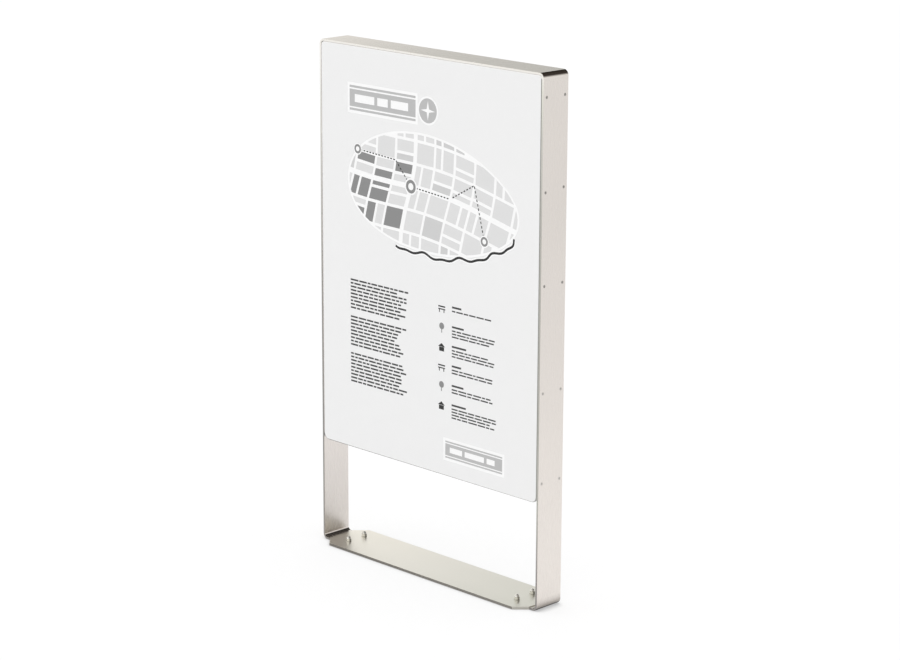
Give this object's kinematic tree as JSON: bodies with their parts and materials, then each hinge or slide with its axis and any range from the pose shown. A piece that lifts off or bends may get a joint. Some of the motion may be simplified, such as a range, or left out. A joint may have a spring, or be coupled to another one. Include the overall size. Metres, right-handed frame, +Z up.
{
  "type": "information board",
  "caption": "Free-standing double-sided information board: a bent steel hoop on a wide base plate, with a white tray panel on each side.",
  "frame": {"origin": "on the ground, at the middle of the base plate's underside", "axes": "+X along the width, to the right of someone who faces the front; -Y is the way the front faces; +Z up"},
  "size_m": [1.08, 0.204, 1.86],
  "materials": {
    "satin_steel": "satin, with rounded edges",
    "satin_plate": "satin",
    "white_lacquer": "glossy white lacquer",
    "zinc_steel": "dull zinc, out of sight",
    "screw_steel": "plain, darker than the strip"
  },
  "bodies": {
    "root": {"frame_hoop": "satin_steel", "base_plate": "satin_plate", "front_panel": "white_lacquer", "rear_panel": "white_lacquer", "bottom_cover": "zinc_steel", "left_front_fixing_bar": "zinc_steel", "right_front_fixing_bar": "zinc_steel", "top_front_fixing_bar": "zinc_steel", "left_rear_fixing_bar": "zinc_steel", "right_rear_fixing_bar": "zinc_steel", "top_rear_fixing_bar": "zinc_steel", "front_left_stiffener": "zinc_steel", "front_right_stiffener": "zinc_steel", "rear_left_stiffener": "zinc_steel", "rear_right_stiffener": "zinc_steel", "left_front_screw_1": "screw_steel", "left_front_screw_2": "screw_steel", "left_front_screw_3": "screw_steel", "left_front_screw_4": "screw_steel", "left_front_screw_5": "screw_steel", "right_front_screw_1": "screw_steel", "right_front_screw_2": "screw_steel", "right_front_screw_3": "screw_steel", "right_front_screw_4": "screw_steel", "right_front_screw_5": "screw_steel", "left_rear_screw_1": "screw_steel", "left_rear_screw_2": "screw_steel", "left_rear_screw_3": "screw_steel", "left_rear_screw_4": "screw_steel", "left_rear_screw_5": "screw_steel", "right_rear_screw_1": "screw_steel", "right_rear_screw_2": "screw_steel", "right_rear_screw_3": "screw_steel", "right_rear_screw_4": "screw_steel", "right_rear_screw_5": "screw_steel", "top_front_screw_left": "screw_steel", "top_front_screw_right": "screw_steel", "top_rear_screw_left": "screw_steel", "top_rear_screw_right": "screw_steel", "front_left_cover_screw": "screw_steel", "front_right_cover_screw": "screw_steel", "rear_left_cover_screw": "screw_steel", "rear_right_cover_screw": "screw_steel", "left_front_anchor_stud": "screw_steel", "left_rear_anchor_stud": "screw_steel", "right_front_anchor_stud": "screw_steel", "right_rear_anchor_stud": "screw_steel", "left_front_anchor_washer": "satin_plate", "left_rear_anchor_washer": "satin_plate", "right_front_anchor_washer": "satin_plate", "right_rear_anchor_washer": "satin_plate", "left_front_anchor_nut": "screw_steel", "left_rear_anchor_nut": "screw_steel", "right_front_anchor_nut": "screw_steel", "right_rear_anchor_nut": "screw_steel"}
  },
  "joints": []
}
